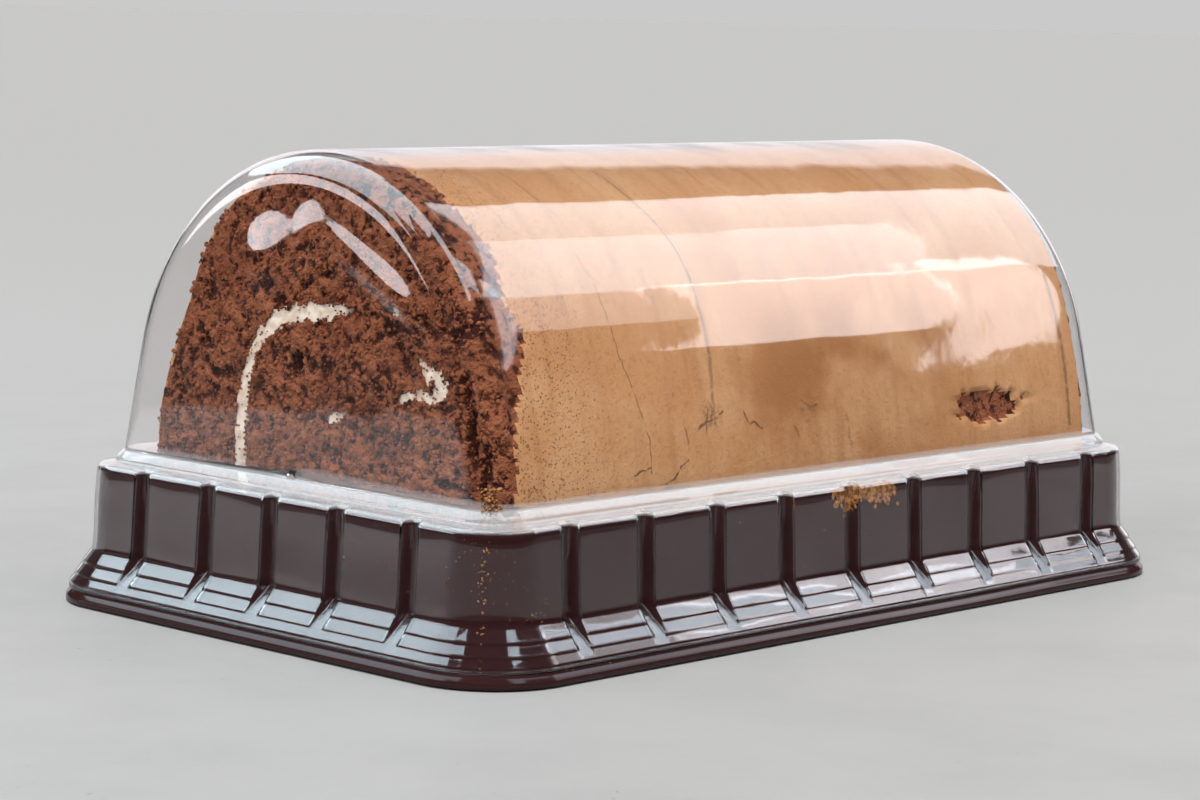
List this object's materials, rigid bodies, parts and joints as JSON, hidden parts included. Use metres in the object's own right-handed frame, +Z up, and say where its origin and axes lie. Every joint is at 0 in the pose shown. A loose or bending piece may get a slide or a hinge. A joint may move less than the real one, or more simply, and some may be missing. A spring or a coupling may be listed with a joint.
{
  "type": "chocolate swiss roll in a domed pack",
  "caption": "Chocolate swiss roll with a vanilla cream spiral, lying in a ribbed dark brown tray under a shut clear domed lid.",
  "frame": {"origin": "middle of the pack's underside, on the surface it stands on", "axes": "+X along the roll, from the cut end that shows the spiral to the far end; +Y across it; +Z up"},
  "size_m": [0.2336, 0.1436, 0.1013],
  "materials": {
    "tray": "glossy thermoformed dark brown plastic",
    "lid": "clear glossy thermoformed plastic",
    "sponge": "soft open chocolate crumb with a tan baked skin",
    "cream": "soft off-white cream"
  },
  "bodies": {
    "root": {"tray": "tray", "lid": "lid", "sponge": "sponge", "cream": "cream"}
  },
  "joints": []
}
